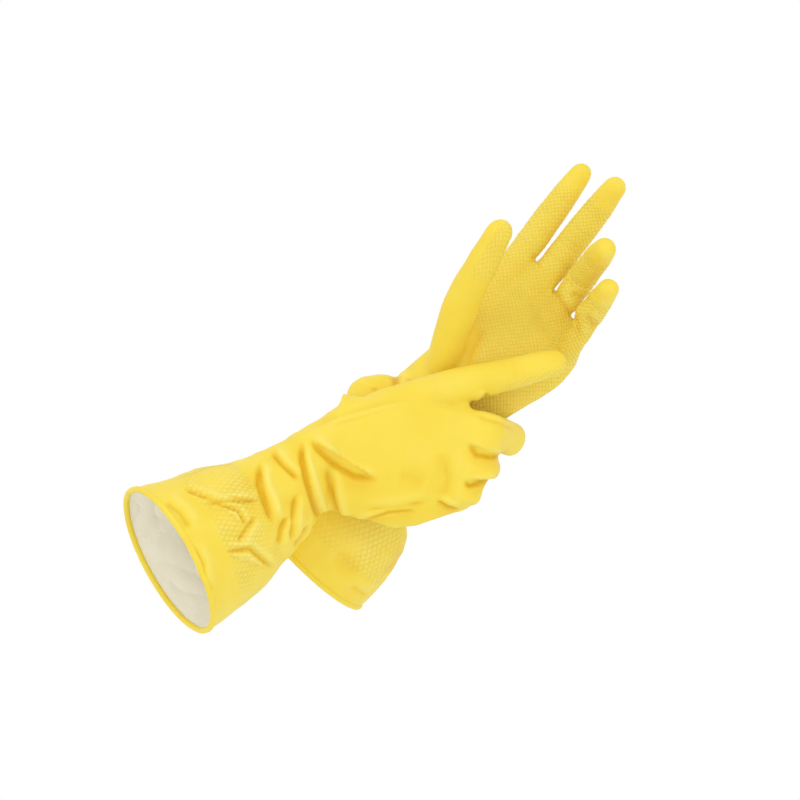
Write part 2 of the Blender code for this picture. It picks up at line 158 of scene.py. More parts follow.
# Each glove as worn, in millimetres and degrees. "wrist", "heel" and "palm" give a ring's place and half
# sizes. "stations" are rings of the sleeve between the wrist (0) and the cuff (1). "fingers" has each
# finger's lean and its three bends. "thumb" has its lean, roll, swing forward and two bends. "fist" draws
# the knuckles of a closed hand together, and "web" is the skin between its thumb and index finger.
LEFT = {
    "name": "left",
    "side": 1,
    "turn": (36.3, 0.0),
    "wrist_place": Vector((94.6, -36.5, 93.6)) * MM,
    "wrist": (-10, 0, 33, 18),
    "heel": (0, 2, 33, 36, 18),
    "palm": (3, 2, 48, 38, 16),
    "cuff_middle": Vector((0.0, 0.0, 0.0)),
    "cuff_axis": Vector((0.697, -0.10, 0.71)),
    "stations": (
        (0.06, -6, 1, 37, 18),
        (0.2, -11, 5, 41, 18),
        (0.45, -4, 12, 32, 18),
        (0.6, 3, 8, 40, 25),
        (0.75, 4, 3, 45, 38),
    ),
    "fingers": {
        "index": (0, 5, 4, 4),
        "middle": (1, 16, 14, 9),
        "ring": (-2, 30, 30, 17),
        "little": (-5, 35, 20, 12),
    },
    "thumb": (17.4, 71, 32, 10, 2),
    "fist": (0, 0),
    "web": None,
    "hand_body": "left_glove",
    "sleeve_body": "left_glove",
    "hand_nodes": ("hand", "webbing", "sleeve"),
}
RIGHT = {
    "name": "right",
    "side": -1,
    "turn": (105.0, 180.0),
    "wrist_place": Vector((27.4, -76.7, 83.4)) * MM,
    "wrist": (14, 0, 37, 20),
    "heel": (9, 2, 33, 42, 18),
    "palm": (9, 2, 48, 42.5, 16),
    "cuff_middle": Vector((-79.0, -131.0, 6.0)) * MM,
    "cuff_axis": Vector((0.80, 0.42, 0.43)),
    "stations": (
        (0.22, 4, 0, 33, 23),
        (0.45, 5, 0, 34, 27),
        (0.65, 4, 0, 42, 36),
        (0.8, 3, 0, 45, 41),
    ),
    "fingers": {
        "index": (3, 67, 50, 33),
        "middle": (3, 85, 38, 40),
        "ring": (2, 92, 28, 32),
        "little": (2, 96, 15, 25),
    },
    "thumb": (30, 65, -4, 2, -1),
    "fist": (4, 13),
    "web": ((-40, -5, 57), (-23, -3, 74)),
    "hand_body": "right_hand",
    "sleeve_body": "right_sleeve",
    "hand_nodes": ("hand", "webbing", "wrist_crease", "sleeve"),
}

# Folds: (x, z) points in millimetres along each fold as the front shows it, its depth and its half width. A
# positive depth presses in; a negative one stands proud.
LEFT_FOLDS = (
    (((58, 122), (60, 106)), 3.0, 2.4),
    (((69, 117), (66, 106)), 2.4, 2.2),
    (((46, 112), (44, 102)), 1.4, 2.6),
    (((83, 24), (66, 4), (48, -15)), 1.5, 4.0),
    (((75, 12), (62, -6)), 1.1, 3.0),
    (((29, -17), (40, -26)), 1.2, 2.2),
    (((20, 8), (36, -8)), 0.9, 5.0),
    (((160, 178), (164, 166), (173, 156), (176, 140)), 1.5, 2.2),
    (((150, 198), (147, 193)), 1.2, 2.0),
    (((178, 158), (184, 150), (190, 152)), 1.5, 2.2),
    (((180, 140), (187, 130)), 1.4, 2.2),
    (((170, 172), (182, 168)), 1.2, 2.0),
    (((116, 150), (108, 136), (104, 122)), 0.9, 3.0),
)
RIGHT_FOLDS = (
    (((3, 81), (15, 69), (24, 60), (33, 55), (49, 53)), 3.2, 1.9),
    (((0, 80), (1, 66), (6, 48), (13, 24)), 3.6, 1.7),
    (((-19, 73), (-10, 63), (0, 54)), 2.6, 1.5),
    (((-25, 67), (-24, 52), (-19, 40), (-15, 27)), 3.5, 1.9),
    (((17, 63), (19, 44), (23, 24)), 2.4, 2),
    (((-2, 47), (-4, 30), (-6, 15)), 2.6, 1.5),
    (((-7, 33), (-11, 24), (-12, 14)), 2.2, 1.5),
    (((-56, 42), (-38, 43), (-22, 43)), 2.6, 1.2),
    (((-69, 51), (-56, 46), (-47, 43)), 2.2, 1.2),
    (((-49, 42), (-36, 37), (-30, 27)), 2.4, 1.2),
    (((-25, 34), (-31, 25), (-36, 17)), 2.4, 1.4),
    (((-44, 13), (-29, 14), (-15, -1)), 2.6, 1.5),
    (((-79, 44), (-69, 37), (-61, 27)), 1.8, 1.9),
    (((-60, 18), (-55, 6), (-54, -8)), 1.9, 1.5),
    (((19, 34), (17, 27), (11, 20)), 2.2, 1.4),
    (((5, 26), (-1, 16), (-4, 11)), 2.2, 1.4),
    (((30, 24), (42, 28), (54, 32), (74, 34)), 1.9, 1.4),
    (((5, 82), (24, 91), (49, 98), (68, 102)), -0.9, 1.2),
    (((112, 100), (117, 108)), 1.4, 1.5),
    (((104, 77), (109, 69), (120, 67), (128, 68)), 3.5, 1.4),
    (((101, 54), (105, 49), (114, 51), (124, 53)), 3.6, 1.4),
    (((84, 41), (92, 35), (100, 34)), 2.4, 1.6),
    (((87, 73), (91, 53), (87, 38)), 1, 4.5),
    (((108, 94), (124, 89), (136, 84)), 1.1, 1.2),
    (((38, 34), (61, 36), (80, 40)), 1.4, 1.9),
    (((60, 58), (78, 52)), 0.7, 6),
)


# ---- Frames -------------------------------------------------------------------------------------------
def rotation(degrees, axis):
    return Matrix.Rotation(math.radians(degrees), 3, axis)


def frame_at(point, turn):
    return Matrix.Translation(point) @ turn.to_4x4()


def hand_frame(glove):
    turn = rotation(glove["turn"][0], "Y") @ rotation(glove["turn"][1], "Z")
    return frame_at(glove["wrist_place"], turn) @ Matrix.Diagonal((glove["side"], 1, 1, 1))


def chain(start, turn, lengths, bends):
    """The bones from a knuckle on, each with its first point, its frame and its length."""
    bones = []
    point = Vector(start) * MM
    for length, bend in zip(lengths, bends):
        turn = turn @ rotation(bend, "X")
        bones.append({"start": point, "turn": turn, "length": length * MM})
        point = point + turn @ ALONG * (length * MM)
    return bones


def thumb_bones(glove):
    lean, roll, forward, *bends = glove["thumb"]
    turn = rotation(forward, "X") @ rotation(-lean, "Y") @ rotation(roll, "Z")
    return chain(THUMB["knuckle"], turn, THUMB["bones"], (0, *bends))


def moved(points, matrix):
    m = np.array(matrix, float)
    return points @ m[:3, :3].T + m[:3, 3]


def smoothstep(t):
    t = np.clip(t, 0, 1)
    return t * t * (3 - 2 * t)


# ---- The closed form with straight fingers ------------------------------------------------------------
def shell(rings, sides):
    """A closed skin drawn through rings, each the frame of a unit circle: its points and its faces."""
    angles = np.linspace(0, 2 * math.pi, sides, endpoint=False)
    circle = np.stack([np.cos(angles), np.sin(angles), np.zeros(sides)], axis=1)
    points = np.concatenate([moved(circle, ring) for ring in rings])
    faces = []
    for row in range(len(rings) - 1):
        for side in range(sides):
            after = (side + 1) % sides
            below, above = row * sides, (row + 1) * sides
            faces.append((below + side, below + after, above + after, above + side))
    faces.append(tuple(range(sides))[::-1])
    faces.append(tuple(range((len(rings) - 1) * sides, len(rings) * sides)))
    return points, faces


def between(keys, count):
    """Rows of numbers drawn smoothly through the keys."""
    keys = np.array(keys, float)
    padded = np.concatenate([2 * keys[:1] - keys[1:2], keys, 2 * keys[-1:] - keys[-2:-1]])
    rows = []
    for at in np.linspace(0, len(keys) - 1, count):
        k = min(int(at), len(keys) - 2)
        t = at - k
        a, b, c, d = padded[k : k + 4]
        rows.append(b + 0.5 * t * (c - a + t * (2 * a - 5 * b + 4 * c - d + t * (3 * (b - c) + d - a))))
    return rows


def palm_ring(sideways, forward, height, width, depth, slope=0.0):
    ring = Matrix.Translation((sideways * MM, -forward * MM, height * MM))
    width, depth = width * MM, depth * MM
    return ring @ Matrix(((width, 0, 0, 0), (0, depth, 0, 0), (slope * width, 0, 1, 0), (0, 0, 0, 1)))


def palm_shell(glove):
    """From inside the sleeve to the webs between the fingers."""
    shift, forward, width, depth = glove["wrist"]
    keys = [
        (shift, forward, -8, width, depth, 0),
        (shift, forward, 0, width, depth, 0),
        (*glove["heel"], 0),
        (*glove["palm"], -0.1),
        (5.5, 0, 69.5, 40.5, 13.5, -0.215),
        (5.5, -0.5, 88, 40, 10.5, -0.215),
        (5.5, -0.5, 107, 36.5, 5.0, -0.3),
    ]
    return shell([palm_ring(*row) for row in between(keys, 40)], 48)


def rounded_tube(start, turn, rings):
    """A straight tube from start, through rings of a distance and a radius, and a round end."""
    last, radius = rings[-1]
    rings = list(rings)
    for degrees in TIP_DEGREES:
        angle = math.radians(degrees)
        rings.append((last + math.sin(angle) * radius * TIP_LENGTH, math.cos(angle) * radius))
    frames = []
    for distance, radius in rings:
        point = start + turn @ ALONG * distance
        frames.append(frame_at(point, turn) @ Matrix.Diagonal((radius, radius * FINGER_FLATNESS, 1, 1)))
    return shell(frames, 28)


def straight_finger(digit):
    sizes = FINGERS[digit]
    lengths = [0, *np.cumsum(sizes["bones"])]
    keys = [(-ROOT_DEPTH, sizes["radii"][0] * 0.8), (-10, sizes["radii"][0] * 0.95)]
    keys += list(zip(lengths, sizes["radii"]))
    rings = [(distance * MM, radius * MM) for distance, radius in between(keys, 40)]
    return rounded_tube(Vector(sizes["knuckle"]) * MM, rotation(sizes["fan"], "Y"), rings)


def posed_thumb(glove):
    """The thumb is moulded across the palm, so it is drawn in its place at once."""
    bones = thumb_bones(glove)
    keys = []
    for bone, radius in zip(bones, THUMB["radii"]):
        keys.append((*bone["start"], radius * MM))
    tip = bones[-1]["start"] + bones[-1]["turn"] @ ALONG * bones[-1]["length"]
    keys.append((*tip, THUMB["radii"][3] * MM))
    inside = bones[0]["start"] - bones[0]["turn"] @ ALONG * (14 * MM)
    keys.insert(0, (*inside, THUMB["radii"][0] * 0.8 * MM))
    rows = between(keys, 60)
    across = bones[0]["turn"] @ Vector((1, 0, 0))
    frames = []
    for row, after in zip(rows, rows[1:] + [None]):
        point = Vector(row[:3])
        if after is not None:
            along = (Vector(after[:3]) - point).normalized()
        frames.append(ring_frame(point, along, across, row[3], row[3] * FINGER_FLATNESS))
    for degrees in TIP_DEGREES:
        angle = math.radians(degrees)
        radius = THUMB["radii"][3] * MM
        point = tip + along * (math.sin(angle) * radius * TIP_LENGTH)
        radius *= math.cos(angle)
        frames.append(ring_frame(point, along, across, radius, radius * FINGER_FLATNESS))
    return shell(frames, 28)


def thumb_web(start, end):
    """The skin stretched between the thumb and the index finger."""
    start, end = Vector(start) * MM, Vector(end) * MM
    along = (end - start).normalized()
    rings = []
    for share, width in ((-0.3, 5), (0, 8), (0.5, 8), (1, 8), (1.3, 5)):
        rings.append(ring_frame(start.lerp(end, share), along, Vector((1, 0, 0.6)), width * MM, 5 * MM))
    return shell(rings, 24)


def ring_frame(point, along, across, width, depth):
    across = (across - along * across.dot(along)).normalized()
    deep = along.cross(across)
    turn = Matrix((across, deep, along)).transposed()
    return frame_at(point, turn) @ Matrix.Diagonal((width, depth, 1, 1))


def sleeve_ring(glove, share, sideways, forward, width, depth):
    """A ring across the sleeve in the world, between the wrist (0) and the cuff (1)."""
    place = hand_frame(glove)
    wrist = place @ Vector((glove["wrist"][0] * MM, 0, 0))
    point = wrist.lerp(glove["cuff_middle"], share)
    towards_cuff = min(1, max(0, 2 * share))
    along = place.col[2].to_3d().lerp(glove["cuff_axis"].normalized(), towards_cuff).normalized()
    across = place.col[0].to_3d()
    across = (across - along * across.dot(along)).normalized()
    point = point + across * (sideways * MM) + Vector((0, -forward * MM, 0))
    return ring_frame(point, along, across, width * MM, depth * MM)


def sleeve_shell(glove):
    radius = CUFF_RADIUS / MM
    keys = [(0, 0, 0, *glove["wrist"][2:]), *glove["stations"], (1, 0, 0, radius, radius)]
    rows = between(keys, 60)
    cuff = sleeve_ring(glove, *rows[-1])
    step = cuff.translation - sleeve_ring(glove, *rows[-2]).translation
    inverse = hand_frame(glove).inverted()
    rings = [sleeve_ring(glove, *row) for row in rows] + [Matrix.Translation(step) @ cuff]
    return shell([inverse @ ring for ring in rings], 56)


def remeshed(shells, plane_point, plane_normal):
    """One even skin round all the shells, cut open at a plane: its points and its triangles."""
    points, faces = [], []
    for shell_points, shell_faces in shells:
        base = sum(len(p) for p in points)
        points.append(shell_points)
        faces += [tuple(base + corner for corner in face) for face in shell_faces]
    mesh = bpy.data.meshes.new("form")
    mesh.from_pydata(np.concatenate(points).tolist(), [], faces)
    form = bpy.data.objects.new("form", mesh)
    bpy.context.scene.collection.objects.link(form)
    even = form.modifiers.new("even", "REMESH")
    even.mode = "VOXEL"
    even.voxel_size = VOXEL
    graph = bpy.context.evaluated_depsgraph_get()
    made = bpy.data.meshes.new_from_object(form.evaluated_get(graph))
    bpy.data.objects.remove(form)
    bm = bmesh.new()
    bm.from_mesh(made)
    bpy.data.meshes.remove(made)
    every_axis = {"use_axis_x": True, "use_axis_y": True, "use_axis_z": True}
    for _ in range(6):
        bmesh.ops.smooth_vert(bm, verts=bm.verts, factor=0.5, **every_axis)
    geometry = bm.verts[:] + bm.edges[:] + bm.faces[:]
    bmesh.ops.bisect_plane(bm, geom=geometry, plane_co=plane_point, plane_no=plane_normal, clear_outer=True)
    bmesh.ops.remove_doubles(bm, verts=bm.verts, dist=VOXEL * 0.12)
    bmesh.ops.triangulate(bm, faces=bm.faces)
    bmesh.ops.recalc_face_normals(bm, faces=bm.faces)
    out = np.array([v.co for v in bm.verts]), np.array([[v.index for v in f.verts] for f in bm.faces])
    bm.free()
    return out


# ---- Numbers on the skin ------------------------------------------------------------------------------
def normals_of(points, faces):
    corners = points[faces]
    face_normals = np.cross(corners[:, 1] - corners[:, 0], corners[:, 2] - corners[:, 0])
    normals = np.zeros_like(points)
    for corner in range(3):
        np.add.at(normals, faces[:, corner], face_normals)
    return normals / np.maximum(np.linalg.norm(normals, axis=1, keepdims=True), 1e-12)


def edges_of(faces):
    pairs = np.concatenate([faces[:, [0, 1]], faces[:, [1, 2]], faces[:, [2, 0]]])
    return np.unique(np.sort(pairs, axis=1), axis=0)


def rim_of(faces):
    """The edges that only one triangle has."""
    pairs = np.sort(np.concatenate([faces[:, [0, 1]], faces[:, [1, 2]], faces[:, [2, 0]]]), axis=1)
    found, counts = np.unique(pairs, axis=0, return_counts=True)
    return found[counts == 1]


def relaxed(points, edges, rounds, held, factor=0.5):
    """Each point drawn towards its neighbours, apart from the held ones."""
    count = np.bincount(edges.ravel(), minlength=len(points))[:, None]
    strength = factor * (1 - held)[:, None]
    for _ in range(rounds):
        total = np.zeros_like(points)
        np.add.at(total, edges[:, 0], points[edges[:, 1]])
        np.add.at(total, edges[:, 1], points[edges[:, 0]])
        points = points + strength * (total / np.maximum(count, 1) - points)
    return points


def distance_to(points, line):
    """Each point's distance to a line through several points, and how far along it that is, 0 to 1."""
    line = np.array(line, float)
    lengths = np.linalg.norm(np.diff(line, axis=0), axis=1)
    total = lengths.sum()
    nearest = np.full(len(points), np.inf)
    share = np.zeros(len(points))
    done = 0.0
    for start, end, length in zip(line, line[1:], lengths):
        t = np.clip(((points - start) @ (end - start)) / length**2, 0, 1)
        away = np.linalg.norm(points - start - t[:, None] * (end - start), axis=1)
        better = away < nearest
        nearest[better] = away[better]
        share[better] = ((done + t * length) / total)[better]
        done += length
    return nearest, share


def side_of(points, line):
    """In the front view, 1 on the left of the line from its first to its last point, and -1 on its right."""
    start, end = np.array(line[0], float), np.array(line[-1], float)
    across = np.array([start[1] - end[1], end[0] - start[0]])
    return np.sign((points - start) @ across)


def turned(points, pivot_z, angles):
    """Points of a finger's own frame, turned about X through the height pivot_z."""
    c, s = np.cos(angles), np.sin(angles)
    y, z = points[:, 1], points[:, 2] - pivot_z
    return np.stack([points[:, 0], y * c - z * s, y * s + z * c + pivot_z], axis=1)


def about_y(points, angles):
    c, s = np.cos(angles), np.sin(angles)
    x, y, z = points.T
    return np.stack([x * c + z * s, y, z * c - x * s], axis=1)


def finger_numbers(points, glove):
    """For each point of the straight form: its finger (ON_THUMB for the thumb, -1 for neither), how far it
    is along that finger, and how much each finger moves it."""
    away, along, centres = [], [], []
    for digit in DIGITS:
        sizes = FINGERS[digit]
        knuckle = np.array(sizes["knuckle"]) * MM
        axis = np.array(rotation(sizes["fan"], "Y") @ ALONG)
        s = (points - knuckle) @ axis
        total = sum(sizes["bones"]) * MM
        on_axis = knuckle + np.clip(s, -ROOT_DEPTH * MM, total)[:, None] * axis
        away.append(np.linalg.norm(points - on_axis, axis=1) / (sizes["radii"][0] * MM))
        along.append(s)
        centres.append(knuckle[0] + (points[:, 2] - knuckle[2]) * math.tan(math.radians(sizes["fan"])))
    away, along, centres = np.array(away), np.array(along), np.array(centres)
    own = away.argmin(axis=0)
    x = points[:, 0]
    soft = np.zeros_like(away)
    order = smoothstep(((x - centres[:-1]) / (centres[1:] - centres[:-1]) - 0.2) / 0.6)
    soft[0] = 1 - order[0]
    soft[1] = order[0] * (1 - order[1])
    soft[2] = order[0] * order[1] * (1 - order[2])
    soft[3] = order[0] * order[1] * order[2]
    hard = np.zeros_like(away)
    hard[own, np.arange(len(points))] = 1
    height, slope, middle = WEB_LINE
    web = (height + slope * (x / MM - middle)) * MM
    above = smoothstep((points[:, 2] - web + 2 * MM) / (12 * MM))
    weights = soft * (1 - above) + hard * above
    bones = thumb_bones(glove)
    thumb_tip = bones[-1]["start"] + bones[-1]["turn"] @ ALONG * bones[-1]["length"]
    thumb_line = [tuple(bone["start"]) for bone in bones] + [tuple(thumb_tip)]
    thumb_away, thumb_share = distance_to(points, thumb_line)
    thumb_length = sum(THUMB["bones"]) * MM
    s = along[own, np.arange(len(points))]
    on_thumb = (thumb_away / (THUMB["radii"][1] * MM) < np.minimum(away.min(axis=0), 1.5)) & (
        thumb_share * thumb_length > 26 * MM
    )
    weights[:, on_thumb] = 0
    own = np.where(on_thumb, ON_THUMB, np.where(s > -30 * MM, own, -1))
    return own, np.where(on_thumb, thumb_share * thumb_length, s), weights


def bent(points, glove, weights):
    """The straight form with its fingers bent as they are worn."""
    out = points * (1 - weights.sum(axis=0))[:, None]
    for k, digit in enumerate(DIGITS):
        sizes = FINGERS[digit]
        lean, *bends = glove["fingers"][digit]
        knuckle = np.array(sizes["knuckle"]) * MM
        fan = math.radians(sizes["fan"])
        local = about_y(points - knuckle, np.full(len(points), -fan))
        height = local[:, 2].copy()
        turns = []
        for joint, (bend, radius) in enumerate(zip(bends, sizes["radii"])):
            at = sum(sizes["bones"][:joint]) * MM
            half = (radius * math.tan(math.radians(abs(bend) / 2)) * 0.9 + 6) * MM
            turns.append((at, smoothstep((height - at + half) / (2 * half)), math.radians(bend)))
        for at, share, bend in reversed(turns):
            local = turned(local, at, share * bend)
        lean_share = turns[0][1]
        local = about_y(local, fan + lean_share * (math.radians(lean) - fan))
        out += weights[k][:, None] * (local + knuckle)
    return out


def closed_fist(x, glove):
    """How a closed hand draws its knuckles together, sideways."""
    gather, tuck = glove["fist"]
    return gather * MM * np.exp(-(((x / MM + 6) / 18) ** 2)) - tuck * MM * smoothstep((x / MM - 20) / 28)


def folded(points, folds, front):
    """How far each point moves along its normal for the folds: a valley with a crest, which is higher on
    the fold's left, and a hollow on its right."""
    push = np.zeros(len(points))
    flat = points[:, [0, 2]]
    for line, depth, width in folds:
        line = np.array(line, float) * MM
        away, share = distance_to(flat, line)
        ends = smoothstep(share / 0.22) * smoothstep((1 - share) / 0.22)
        beyond = (share < 0.001) | (share > 0.999)
        ends = np.where(beyond, 0.0, ends) * front
        d = away / (width * MM)
        side = side_of(flat, line)
        valley = np.exp(-(d**1.3))
        crest = np.exp(-(((d - 2.2) / 1.5) ** 2)) * (0.36 + 0.24 * side)
        hollow = np.exp(-(((d - 2.5) / 2.2) ** 2)) * np.maximum(-side, 0) * 0.25
        push += (-valley + crest - hollow) * depth * MM * ends
    return push


def rolling(points, waves, seed):
    """Smooth unevenness, in waves of a size and a height."""
    size, height = waves
    offset = Vector((seed * 7.3, seed * 3.1, seed * 5.7))
    return height * np.array([noise.noise(Vector(p) / size + offset) for p in points.tolist()])


# ---- Objects ------------------------------------------------------------------------------------------
def piece_of(name, points, faces, normals, values, material):
    """A mesh object with given normals and numbers at its points."""
    mesh = bpy.data.meshes.new(name)
    mesh.vertices.add(len(points))
    mesh.vertices.foreach_set("co", points.astype(np.float32).ravel())
    mesh.loops.add(len(faces) * 3)
    mesh.polygons.add(len(faces))
    mesh.loops.foreach_set("vertex_index", faces.ravel().astype(np.int32))
    mesh.polygons.foreach_set("loop_start", np.arange(len(faces), dtype=np.int32) * 3)
    mesh.update(calc_edges=True)
    mesh.validate()
    for key, value in values.items():
        if key.startswith("uv_"):
            layer = mesh.uv_layers.new(name=key[3:])
            layer.data.foreach_set("uv", value[faces.ravel()].astype(np.float32).ravel())
        else:
            mesh.attributes.new(key, "FLOAT", "POINT").data.foreach_set("value", value.astype(np.float32))
    mesh.polygons.foreach_set("use_smooth", np.ones(len(mesh.polygons), bool))
    mesh.normals_split_custom_set_from_vertices(normals.tolist())
    mesh.materials.append(material)
    piece = bpy.data.objects.new(name, mesh)
    bpy.context.scene.collection.objects.link(piece)
    return piece


def walls_between(faces, regions, region, others):
    """Chains of points along the border of a region with other regions, as lists of point numbers."""
    mine = faces[regions == region]
    theirs = faces[np.isin(regions, others)]
    pairs = np.concatenate([mine[:, [0, 1]], mine[:, [1, 2]], mine[:, [2, 0]]])
    edges = {tuple(pair) for pair in pairs.tolist()}
    reverse = np.concatenate([theirs[:, [1, 0]], theirs[:, [2, 1]], theirs[:, [0, 2]]])
    shared = edges & {tuple(pair) for pair in reverse.tolist()}
    following = {}
    for start, end in shared:
        following.setdefault(start, []).append(end)
    ends = {end for _, end in shared}
    starts = [start for start in following if start not in ends]
    chains = []
    while following:
        start = starts.pop() if starts else next(iter(following))
        if start not in following:
            continue
        line = [start]
        while line[-1] in following:
            options = following[line[-1]]
            line_end = options.pop()
            if not options:
                del following[line[-1]]
            line.append(line_end)
            if line_end == start:
                break
        chains.append(line)
    return chains


def cut_out(name, form, region, material, side_regions=()):
    """The piece of the form in one region, closed where it meets the pieces beside it."""
    points, faces, normals, values, regions = form
    mine = faces[regions == region]
    used = np.unique(mine)
    number = np.full(len(points), -1)
    number[used] = np.arange(len(used))
    new_points, new_normals = [points[used]], [normals[used]]
    picked = [used]
    new_faces = [number[mine]]
    base = len(used)
    for beside in side_regions:
        chains = sorted(walls_between(faces, regions, region, [beside]), key=len)[-2:]
        line = [corner for part in chains for corner in part]
        if len(line) < 8:
            continue
        triangles = tessellate_polygon([[Vector(points[k]) for k in line]])
        if not triangles:
            continue
        wall = np.array(triangles)[:, ::-1]
        a, b, c = (points[line][wall[:, corner]] for corner in range(3))
        wall_normal = np.cross(b - a, c - a).sum(axis=0)
        outward = points[line].mean(axis=0) - points[used].mean(axis=0)
        if wall_normal @ outward < 0:
            wall = wall[:, ::-1]
            wall_normal = -wall_normal
        new_points.append(points[line] - normals[line] * WALL_INSET)
        new_normals.append(np.tile(wall_normal / max(np.linalg.norm(wall_normal), 1e-12), (len(line), 1)))
        picked.append(np.array(line))
        new_faces.append(wall + base)
        base += len(line)
    new_values = {key: value[np.concatenate(picked)] for key, value in values.items()}
    skin = (np.concatenate(rows) for rows in (new_points, new_faces, new_normals))
    return piece_of(name, *skin, new_values, material)


def rim_in_order(faces):
    """The numbers of the rim's points in order round the cuff."""
    following = {}
    for a, b in rim_of(faces).tolist():
        following.setdefault(a, []).append(b)
        following.setdefault(b, []).append(a)
    best = []
    left = set(following)
    while left:
        start = next(iter(left))
        line = [start]
        left.discard(start)
        while True:
            options = [k for k in following[line[-1]] if k in left]
            if not options:
                break
            line.append(options[0])
            left.discard(options[0])
        if len(line) > len(best):
            best = line
    return best


def bead_on(name, line_points, radius, material, values_like):
    """A rolled bead along a closed line."""
    line = np.array(line_points)
    for _ in range(10):
        line = (np.roll(line, 1, axis=0) + 2 * line + np.roll(line, -1, axis=0)) / 4
    steps = np.linalg.norm(np.roll(line, -1, axis=0) - line, axis=1)
    at = np.concatenate([[0], np.cumsum(steps)])
    closed = np.vstack([line, line[:1]])
    wanted = np.linspace(0, at[-1], BEAD_STEPS, endpoint=False)
    line = np.stack([np.interp(wanted, at, closed[:, k]) for k in range(3)], axis=1)
    middle = line.mean(axis=0)
    along = np.roll(line, -1, axis=0) - np.roll(line, 1, axis=0)
    along /= np.linalg.norm(along, axis=1, keepdims=True)
    out = line - middle
    out -= (out * along).sum(axis=1, keepdims=True) * along
    out /= np.linalg.norm(out, axis=1, keepdims=True)
    other = np.cross(along, out)
    angles = np.linspace(0, 2 * math.pi, BEAD_SIDES, endpoint=False)
    direction = np.cos(angles)[None, :, None] * out[:, None] + np.sin(angles)[None, :, None] * other[:, None]
    tube = (line - out * radius * 0.4)[:, None] + radius * direction
    faces = []
    for row in range(BEAD_STEPS):
        here, ahead = row * BEAD_SIDES, (row + 1) % BEAD_STEPS * BEAD_SIDES
        for side in range(BEAD_SIDES):
            after = (side + 1) % BEAD_SIDES
            faces += [(here + side, here + after, ahead + after), (here + side, ahead + after, ahead + side)]
    points = tube.reshape(-1, 3)
    faces = np.array(faces)
    normals = direction.reshape(-1, 3)
    corners = points[faces[0]]
    if np.cross(corners[1] - corners[0], corners[2] - corners[0]) @ normals[faces[0][0]] < 0:
        faces = faces[:, ::-1]
    values = {key: np.zeros((len(points), *value.shape[1:])) for key, value in values_like.items()}
    return piece_of(name, points, faces, normals, values, material)


# ---- A glove ------------------------------------------------------------------------------------------
def glove_form(glove, folds):
    """The worn skin of a glove in the world, with the numbers that its looks and its pieces need."""
    place = hand_frame(glove)
    inverse = place.inverted()
    axis = (inverse.to_3x3() @ glove["cuff_axis"]).normalized()
    shells = [palm_shell(glove), posed_thumb(glove), sleeve_shell(glove)]
    shells += [straight_finger(digit) for digit in DIGITS]
    if glove["web"]:
        shells.append(thumb_web(*glove["web"]))
    points, faces = remeshed(shells, inverse @ glove["cuff_middle"], -axis)
    own, along, weights = finger_numbers(points, glove)
    straight, straight_normals = points, normals_of(points, faces)
    cuff = np.array(inverse @ glove["cuff_middle"])
    from_cuff = (points - cuff) @ np.array(axis)
    points = bent(points, glove, weights)
    height = straight[:, 2] / MM
    in_fist = smoothstep((height - FIST_HEIGHTS[0]) / FIST_HEIGHTS[1]) * (own != ON_THUMB)
    points[:, 0] += in_fist * closed_fist(points[:, 0], glove)
    rim = np.unique(rim_of(faces))
    held = np.zeros(len(points))
    held[rim] = 1
    edges = edges_of(faces)
    points = relaxed(points, edges, 3, held)
    points = moved(points, place)
    if glove["side"] < 0:
        faces = faces[:, ::-1]
    normals = normals_of(points, faces)
    front = smoothstep((0.35 - normals[:, 1]) / 0.5)
    on_sleeve = smoothstep((4 - height) / 14) * (0.35 + 0.65 * smoothstep(from_cuff / RIM_ZONE))
    push = folded(points, folds, front)
    # The looser latex of the sleeve wrinkles all round, and more so at the back, where no folds are drawn.
    sleeve_axis = np.array(glove["cuff_axis"].normalized())
    stretched = points + 0.5 * (points @ sleeve_axis)[:, None] * sleeve_axis
    ridges = SLEEVE_WRINKLES[1] - 2 * np.abs(rolling(stretched, SLEEVE_WRINKLES, 1 + glove["side"]))
    ridges += rolling(stretched, SLEEVE_CRINKLES, 4 + glove["side"])
    push += on_sleeve * (0.45 + 0.55 * (1 - front)) * ridges
    push += (1 - on_sleeve) * rolling(points, HAND_WAVES, 9 + glove["side"])
    push += ((own >= 0) & (along > 0)) * rolling(points, FINGER_WAVES, 12)
    palm_side = smoothstep((0.25 - straight_normals[:, 1]) / 0.5)
    push += joint_creases(glove, own, along, palm_side)
    points = points + normals * push[:, None]
    points = relaxed(points, edges, 1, held, 0.4)
    normals = normals_of(points, faces)
    grip = grip_strength(glove, straight, straight_normals, palm_side, own, along)
    band = smoothstep((from_cuff / MM - BAND[0]) / 3) * smoothstep((BAND[1] - from_cuff / MM) / 3)
    band *= 0.35 + 0.65 * smoothstep(rolling(points, BAND_PATCHES, 21) + 0.5)
    in_cuff = moved(points, sleeve_ring(glove, 1, 0, 0, 1000, 1000).inverted())
    cuff_angle = np.arctan2(in_cuff[:, 1], in_cuff[:, 0])
    values = {
        "uv_flat": np.stack([straight[:, 0], straight[:, 2] + 0.35 * straight[:, 1]], axis=1) / MM,
        "uv_cuff": np.stack([cuff_angle * CUFF_RADIUS, from_cuff], axis=1) / MM,
        "grip": grip,
        "band": band,
        # how far the skin is pressed in (above 0) or stands proud (below 0); the latex turns the first into
        # painted shade and the second into a painted highlight
        "crease": np.clip(-push / (2.2 * MM), -1, 1),
    }
    return (points, faces, normals, values, regions_of(faces, own, along)), from_cuff


